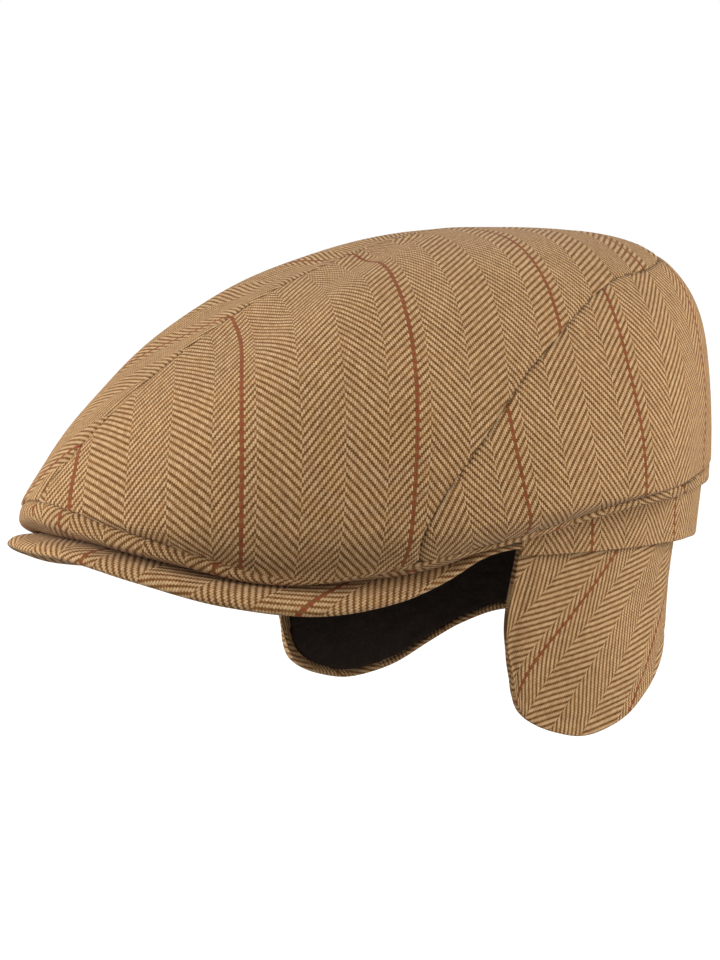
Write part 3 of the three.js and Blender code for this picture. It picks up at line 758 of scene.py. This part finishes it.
# Peak: a stiff board covered with the tweed above and below, its long edge turned under.
# Its herringbone runs nearly straight forwards.
HEAD_HALF_WIDTH = 84
HEAD_HALF_LENGTH = 100
BAND_WALL = 1.6
PEAK_CENTRE_Y = -16
PEAK_HALF_WIDTH = 88
PEAK_LENGTH = 141
PEAK_FULLNESS = 2.15
PEAK_ARCH = 1.15
PEAK_TWIST = 1.3
PEAK_END_ANGLE = 89.8
PEAK_COLUMNS = 150
PEAK_TOP_ROWS = 22
PEAK_TURN_ROWS = 5
PEAK_UNDER_ROWS = 12
PEAK_CROWDING = 0.5
PAST_PEAK = 1.02
NO_PEAK = -1000
PEAK_NOSE = 7
PEAK_NOSE_DROP = 0.6
PEAK_LIP = 1.8
PEAK_GRAIN = math.radians(14)
PEAK_LINE = -7.6
PEAK_SPREAD = 0.93
PEAK = curves(("angle", "inner_height", "edge_height", "thickness"), [
    (0, 8, 1, 4.2),
    (10, 7, 0.5, 4.2),
    (20, 4.5, -4.5, 4.4),
    (32, 1, -11.4, 4.6),
    (46, -0.5, -15, 4.6),
    (60, 0.5, -11.9, 4),
    (70, 2, -6.3, 3.4),
    (80, 3.5, 1.2, 2.6),
    (90, 4.5, 3, 1.8),
])


def peak_reach(angle):
    """How far the peak's long edge lies out from its centre, at an angle from the front."""
    across = np.abs(np.sin(np.radians(angle))) / PEAK_HALF_WIDTH
    along = np.abs(np.cos(np.radians(angle))) / PEAK_LENGTH
    return (across ** PEAK_FULLNESS + along ** PEAK_FULLNESS) ** (-1 / PEAK_FULLNESS)


def head_reach(angle):
    """How far the inside of the head opening lies out from the peak's centre."""
    across = np.sin(np.radians(angle)) / (HEAD_HALF_WIDTH - BAND_WALL)
    along = np.cos(np.radians(angle)) / (HEAD_HALF_LENGTH - BAND_WALL)
    offset = -PEAK_CENTRE_Y / (HEAD_HALF_LENGTH - BAND_WALL)
    a = across ** 2 + along ** 2
    b = along * offset
    return (-b + np.sqrt(b * b - a * (offset ** 2 - 1))) / a


def peak_top(angle, share):
    """Height of the peak's upper side at an angle and a share of the way out from the head."""
    a = np.abs(angle)
    outer = PEAK["edge_height"](a) + PEAK["thickness"](a)
    inner = PEAK["inner_height"](a)
    share = np.clip(share, 0, 1)
    twist = PEAK_TWIST * np.sin(np.radians(2 * angle)) * share ** 2
    return inner + (outer - inner) * share ** PEAK_ARCH - twist


def peak_top_at(x, y):
    """Height of the peak's upper side over a place in plan, or NO_PEAK where there is none."""
    ahead = PEAK_CENTRE_Y - y
    angle = np.degrees(np.arctan2(x, ahead))
    inner = head_reach(np.clip(angle, -90, 90))
    share = (np.hypot(x, ahead) - inner) / (peak_reach(angle) - inner)
    return np.where((ahead >= 0) & (share <= PAST_PEAK), peak_top(angle, share), NO_PEAK)


def turned_cloth(flat, angle, shift=(0, 0)):
    """Turns the cloth under a piece: its columns then run at an angle to the piece's own height."""
    spin = np.array([[math.cos(angle), math.sin(angle)], [-math.sin(angle), math.cos(angle)]])
    return flat @ spin.T + np.array(shift)


def peak_section(angle):
    """A closed section of the peak from the head out and back, and how far it lies out in the cloth."""
    thickness = float(PEAK["thickness"](abs(angle)))
    inner, outer = float(head_reach(angle)), float(peak_reach(angle))
    out = crowded(PEAK_TOP_ROWS, PEAK_CROWDING, both=False)
    reach = inner + (outer - inner) * out
    into_nose = np.clip((reach - outer + PEAK_NOSE) / PEAK_NOSE, 0, 1)
    rounding = thickness * PEAK_NOSE_DROP * (1 - np.sqrt(1 - into_nose ** 2))
    top = [(r, peak_top(angle, share) - d) for r, share, d in zip(reach, out, rounding)]
    low = float(peak_top(angle, 1)) - thickness
    nose = top[-1][1]
    turn = np.linspace(0, math.pi / 2, PEAK_TURN_ROWS + 1)[1:]
    under = [(outer - PEAK_LIP * (1 - math.cos(t)), nose - (nose - low) * math.sin(t)) for t in turn]
    under += [
        (outer - PEAK_LIP + (inner - outer + PEAK_LIP) * t,
         float(peak_top(angle, 1 - t)) - thickness)
        for t in np.linspace(0, 1, PEAK_UNDER_ROWS + 1)[1:]
    ]
    section = np.array(top + under + [top[0]])
    steps = np.linalg.norm(np.diff(section, axis=0), axis=1)
    steps[len(top) + PEAK_TURN_ROWS - 1:] *= -1
    laid = inner + np.concatenate([[0], np.cumsum(steps)])
    return section, laid


peak_angles = np.linspace(-PEAK_END_ANGLE, PEAK_END_ANGLE, PEAK_COLUMNS)
peak_sections, peak_laid = (np.array(part) for part in zip(*map(peak_section, peak_angles)))
peak_out, peak_height = peak_sections.transpose(2, 0, 1)
sideways = np.sin(np.radians(peak_angles))[:, None]
forwards = np.cos(np.radians(peak_angles))[:, None]
peak_points = np.stack([peak_out * sideways, PEAK_CENTRE_Y - peak_out * forwards, peak_height], -1)
peak_flat = np.stack([peak_laid * sideways, PEAK_CENTRE_Y - peak_laid * forwards], -1) * PEAK_SPREAD
peak_flat = turned_cloth(peak_flat, PEAK_GRAIN, (STRIPE_AT - PEAK_LINE, 0))
peak = cloth_sheet("peak_cover", peak_points, ["peak"], peak_flat, closed=True)
peak.data.materials.append(tweed_cloth)
soften(peak)


# Band: a straight strip of tweed round the head opening, from temple to temple behind.
# The peak closes the opening in front, and the strip under the crown covers the band's upper edge.
BAND_FLARE = 1.9
BAND_FRONT_ANGLE = 81
BAND_SEAM = 1.2
BAND_COLUMNS = 220
BAND_ROWS = 14
BAND_CROWDING = 0.5
BAND_SLACK = 0.3
BAND_SLACK_SIZE = 14
BAND_LINE = 28.3
BAND_FULLNESS = 1.2
BAND = curves(("angle", "height"), [(80, 4.5), (90, 8.5), (100, 12), (120, 17), (150, 18), (180, 18.5)])


def head_point(angle, inset, height):
    """A place on the oval of the head opening, moved in by an inset."""
    turned = np.radians(angle)
    x = (HEAD_HALF_WIDTH - inset) * np.sin(turned)
    y = -(HEAD_HALF_LENGTH - inset) * np.cos(turned)
    return np.stack([x, y, height * np.ones_like(x)], -1)


band_angle = np.linspace(BAND_FRONT_ANGLE, 360 - BAND_FRONT_ANGLE, BAND_COLUMNS)[:, None]
band_height = (BAND["height"](folded(band_angle)) + BAND_SEAM) * crowded(BAND_ROWS, BAND_CROWDING)[None]
flare = BAND_FLARE * band_height / BAND["height"](180)
band_points = head_point(band_angle + 0 * band_height, -flare, band_height)
uneven = BAND_SLACK * waves(band_points, BAND_SLACK_SIZE, 31)
band_points = band_points + facing(band_points) * uneven[..., None]
band_flat = np.stack([(run(band_points, 0) - BAND_LINE) * BAND_FULLNESS + STRIPE_AT, band_height], -1)
band = cloth_sheet("band_cloth", band_points, ["band"], band_flat)
band.data.materials.append(tweed_cloth)
band.data.materials.append(lining_cloth)
thicken(band, BAND_WALL, lined=True)


# Strip under the crown: a narrow roll of tweed, which joins the hem to the band
# and, in front, lies on the peak.
STRIP_WALL = 1.2
STRIP_REACH = 12
STRIP_START = 0.8
STRIP_REST = 0.35
STRIP_ON_BAND = 0.2
STRIP_ON_PEAK = 0.1
STRIP_OFF_PEAK = 0.12
STRIP_DEEP_FROM = 75
STRIP_DEEP_FULL = 81
STRIP_COLUMNS = 300
STRIP_SECTION_ROWS = 18
STRIP_LINE = 74
STRIP_FULLNESS = 0.957
STRIP_TUCK = 0.8
STRIP_LIFT = 0.95
STRIP_COVER = 0.8
STRIP_COVER_FROM = 72
STRIP_COVER_FULL = 100
STRIP_SIDE_BULGE = 0.7
STRIP_FRONT_BULGE = 4.4
STRIP = curves(("angle", "drop", "bulge"), [
    (0, 8, STRIP_FRONT_BULGE),
    (14, 5.5, 3.5),
    (24, 4, 1.2),
    (33, 1.6, 0.7),
    (60, 1.4, 0.7),
    (90, 2.4, 0.7),
    (120, 4, 0.7),
    (180, 4, 0.7),
])
# Where the roll in front passes: a start in millimetres, then shares of the bulge outwards, of the tuck
# upwards and of the drop downwards, each with what the full roll adds to it
ROLL = [
    (0.1, (0.35, 0.27), (1, 0), (0, 0)),
    (0, (0.78, 0), (0.5, 0.35), (0, 0)),
    (0, (0.92, 0), (0, 0), (0.25, -0.3)),
    (0, (1, 0), (0, 0), (0.6, 0)),
]
COVER_LIP = (0.1, 0.7)
COVER_MIDDLE = 0.95
COVER_FOOT = (0.75, 0.6)


def strip_section(angle):
    """The strip's section at an angle: from the hem out over its belly, down, and in to its rest.
    With it come the length that is tucked in and how full the roll is, from 0 to 1."""
    hem = crown_point(angle, 1 + TURNED_UNDER)
    drop = float(STRIP["drop"](folded(angle)))
    bulge = float(STRIP["bulge"](folded(angle)))
    head_angle = math.degrees(math.atan2(hem[0] / HEAD_HALF_WIDTH, -hem[1] / HEAD_HALF_LENGTH))
    inward = head_point(head_angle, BAND_WALL, 0.0) - hem
    inward[2] = 0
    span = np.linalg.norm(inward)
    inward = inward / span
    deep = min(max((abs(head_angle) - STRIP_DEEP_FROM) / (STRIP_DEEP_FULL - STRIP_DEEP_FROM), 0), 1)
    reach = min(span, STRIP_REACH + deep * max(span - STRIP_REACH, 0))
    top = hem[2] - STRIP_REST
    lift = (bulge - STRIP_SIDE_BULGE) / (STRIP_FRONT_BULGE - STRIP_SIDE_BULGE)
    tuck = STRIP_TUCK + STRIP_LIFT * lift
    on_band = float(BAND["height"](abs(head_angle))) + STRIP_REST + STRIP_ON_BAND
    rest = (1 - deep) * (top - drop) + deep * on_band
    low = max(top - drop, rest)
    belly = [
        (start - bulge * (out + out_more * lift),
         top + tuck * (up + up_more * lift) - drop * (down + down_more * lift))
        for start, (out, out_more), (up, up_more), (down, down_more) in ROLL
    ]
    rim = crown_point(angle, 1)
    out = STRIP_COVER * math.hypot(rim[0] - hem[0], rim[1] - hem[1])
    under = hem[2] + (rim[2] - hem[2]) * (1 - math.sqrt(1 - STRIP_COVER))
    covering = [
        (-out, under), (-out - COVER_LIP[0], under - COVER_LIP[1]),
        (-out * COVER_MIDDLE, (under + low) / 2), (-out * COVER_FOOT[0], low + COVER_FOOT[1]),
    ]
    share = (float(folded(angle)) - STRIP_COVER_FROM) / (STRIP_COVER_FULL - STRIP_COVER_FROM)
    share = min(max(share, 0), 1)
    route = [(STRIP_START, top + tuck)]
    route += [tuple((1 - share) * a + share * b for a, b in zip(*pair)) for pair in zip(belly, covering)]
    route += [(STRIP_START, low), ((STRIP_START + reach) / 2, (low + rest) / 2), (reach, rest)]
    lengths = np.concatenate([[0], np.cumsum([math.dist(a, b) for a, b in zip(route, route[1:])])])
    even = np.linspace(0, lengths[-1], STRIP_SECTION_ROWS)
    distance = smooth_curve(lengths, [place[0] for place in route])(even)
    height = smooth_curve(lengths, [place[1] for place in route])(even)
    points = hem + distance[:, None] * inward
    bed = peak_top_at(points[:, 0], points[:, 1])
    points[:, 2] = np.maximum(height, bed + STRIP_REST + STRIP_OFF_PEAK)
    # Over the peak, the inner half of the section settles onto it.
    settled = np.where(bed > NO_PEAK, np.clip(np.linspace(-2, 2, STRIP_SECTION_ROWS), 0, 1), 0)
    points[:, 2] += (bed + STRIP_ON_PEAK - points[:, 2]) * settled
    return points, lengths[1], lift


strip_sections = zip(*map(strip_section, np.linspace(0, 360, STRIP_COLUMNS)))
strip_points, strip_tucked, strip_lift = (np.array(part) for part in strip_sections)
strip_tucked, strip_lift = strip_tucked[:, None], np.clip(strip_lift, 0, 1)[:, None]
strip_across = (run(strip_points, 0) - STRIP_LINE) * STRIP_FULLNESS + STRIPE_AT
strip_flat = np.stack([strip_across, -run(strip_points, 1)], -1)
# The strip's painted seam shade starts where it comes out from under the crown, and is kept off the roll in
# front.
strip = cloth_sheet(
    "crown_under_strip_cloth", strip_points, ["crown_under_strip"], strip_flat,
    from_seam=run(strip_points, 1) - strip_tucked + strip_lift * HEM_CREASE_AT,
)
strip.data.materials.append(tweed_cloth)
thicken(strip, STRIP_WALL)


# Earflaps: one strip of tweed hangs from the band, from the left temple round the nape to the right.
# Its two ends are cut long and round, and its edge is turned in round the lining. Its cloth is laid
# on the slant and with its other side out, so that its herringbone leans the other way.
FLAP_TOP = 8
FLAP_COVER = 1.4
FLAP_EDGE = 3.6
FLAP_EDGE_WIDTH = 2.3
FLAP_COLUMNS = 240
FLAP_ROWS = 46
FLAP_CROWDING = 0.6
FLAP_GRAIN = math.radians(-42)
FLAP_LINE = 36
FLAP_FULLNESS = 1.15
FLAP_ACROSS = -1.1
FLAP_CORNER_ANGLE = 80.4
FLAP_CORNER_HEIGHT = -46
FLAP_FRONT = curves(("height", "angle"), [
    (FLAP_CORNER_HEIGHT, FLAP_CORNER_ANGLE), (-25, 78.6), (0, 81.2), (FLAP_TOP, 82),
])["angle"]
FLAP_LOWER = curves(("angle", "height"), [
    (FLAP_CORNER_ANGLE, FLAP_CORNER_HEIGHT), (80.9, -49.5), (82.2, -53.5), (85.5, -57.6), (90, -60.6),
    (96, -62.6), (102, -61.4), (109, -57.6), (117, -50), (125, -42.8), (135, -37.2), (155, -34), (180, -33),
])["height"]
FLAP_SET = curves(("angle", "setback", "lean"), [
    (80, 2.1, 0.01), (100, 2.3, 0), (120, 3.4, 0), (145, 7, 0.13), (180, 8, 0.13),
])
# The parts of the strip's length over which its cut corner and its shaped front edge die out
FLAP_CORNER_PART = 1 / 8
FLAP_FRONT_PART = 1 / 4
FLAP_SLACK = 0.8
FLAP_SLACK_SIZE = 30
FLAP_SLACK_FROM_EDGE = 10
EDGE_ROLL = 0.5
EDGE_ROLL_AT = 5
EDGE_ROLL_WIDTH = 1.8
EDGE_ROLL_EVEN = 0.7
EDGE_ROLL_UNEVEN = 0.5
EDGE_ROLL_SIZE = 8
EDGE_STEP = 0.8


def flap_point(along, down, inset, depth):
    """A place on the strip: inset moves its front and lower edges in, depth goes towards the head."""
    angle_inset = math.degrees(inset / HEAD_HALF_LENGTH)
    half = np.where(along > 0.5, 1 - along, along)
    base = FLAP_CORNER_ANGLE + angle_inset + (180 - FLAP_CORNER_ANGLE - angle_inset) * half * 2
    bottom = FLAP_LOWER(base - angle_inset * np.maximum(0, 1 - half / FLAP_CORNER_PART)) + inset
    height = FLAP_TOP + (bottom - FLAP_TOP) * down
    forward = FLAP_FRONT(FLAP_TOP + (FLAP_CORNER_HEIGHT - FLAP_TOP) * down) - FLAP_CORNER_ANGLE
    angle = base + forward * np.maximum(0, 1 - half / FLAP_FRONT_PART) ** 2
    setback = FLAP_SET["setback"](angle) + FLAP_SET["lean"](angle) * np.maximum(0, -height) + depth
    return head_point(np.where(along > 0.5, 360 - angle, angle), setback, height)


flap_along, flap_down = np.meshgrid(
    crowded(FLAP_COLUMNS, FLAP_CROWDING), crowded(FLAP_ROWS, FLAP_CROWDING, both=False), indexing="ij"
)
flap_points = flap_point(flap_along, flap_down, 0, 0)
from_front = run(flap_points, 0)
from_ends = np.minimum(from_front, from_front[-1:] - from_front)
from_top = run(flap_points, 1)
from_lower = from_top[:, -1:] - from_top
from_edge = np.minimum(from_ends, from_lower)
rolled = EDGE_ROLL_EVEN + EDGE_ROLL_UNEVEN * waves(flap_points, EDGE_ROLL_SIZE, 42)
roll = -EDGE_ROLL * np.exp(-((from_edge - EDGE_ROLL_AT) / EDGE_ROLL_WIDTH) ** 2) * rolled
loose = slack(flap_points, from_edge, 41, FLAP_SLACK, FLAP_SLACK_SIZE, FLAP_SLACK_FROM_EDGE)
flap_places = flap_points + facing(flap_points) * (loose + roll)[..., None]
flap_flat = np.stack([from_front * FLAP_FULLNESS, flap_points[..., 2]], -1)
flap_flat = turned_cloth(flap_flat, FLAP_GRAIN, (-FLAP_LINE, 0)) * (FLAP_ACROSS, 1) + (STRIPE_AT, 0)
flaps = cloth_sheet("earflap_cover_cloth", flap_places, ["earflap_cover"], flap_flat)
flaps.data.materials.append(tweed_cloth)
thin = FLAP_COVER / FLAP_EDGE
edge_share = thin + (1 - thin) * np.clip((FLAP_EDGE_WIDTH + EDGE_STEP - from_edge) / EDGE_STEP, 0, 1)
thicken(flaps, FLAP_EDGE, edge_share.ravel())


# Lining: the inside of the strip is faced with short near-black fleece, which is set in
# from the turned edge and ends behind the band.
FLEECE = 2.2
FLEECE_GAP = 0.3
FLEECE_INSET = 3
FLEECE_COLUMNS = 200
FLEECE_ROWS = 46
FLEECE_CROWDING = (0.4, 0.3)
# Depth and size of the tufts, small and large, and the seed of each
FLEECE_TUFTS = [(0.35, 3.2, 51), (0.3, 9, 52)]
fleece_along, fleece_down = np.meshgrid(
    crowded(FLEECE_COLUMNS, FLEECE_CROWDING[0]), crowded(FLEECE_ROWS, FLEECE_CROWDING[1]), indexing="ij"
)
fleece_points = flap_point(fleece_along, fleece_down, FLEECE_INSET, FLAP_COVER + FLEECE_GAP)
tufts = sum(depth * waves(fleece_points, size, seed) for depth, size, seed in FLEECE_TUFTS)
fleece_points = fleece_points - facing(fleece_points) * tufts[..., None]
fleece = cloth_sheet("earflap_lining_fleece", fleece_points, ["earflap_lining"])
fleece.data.materials.append(napped("fleece"))
thicken(fleece, FLEECE)
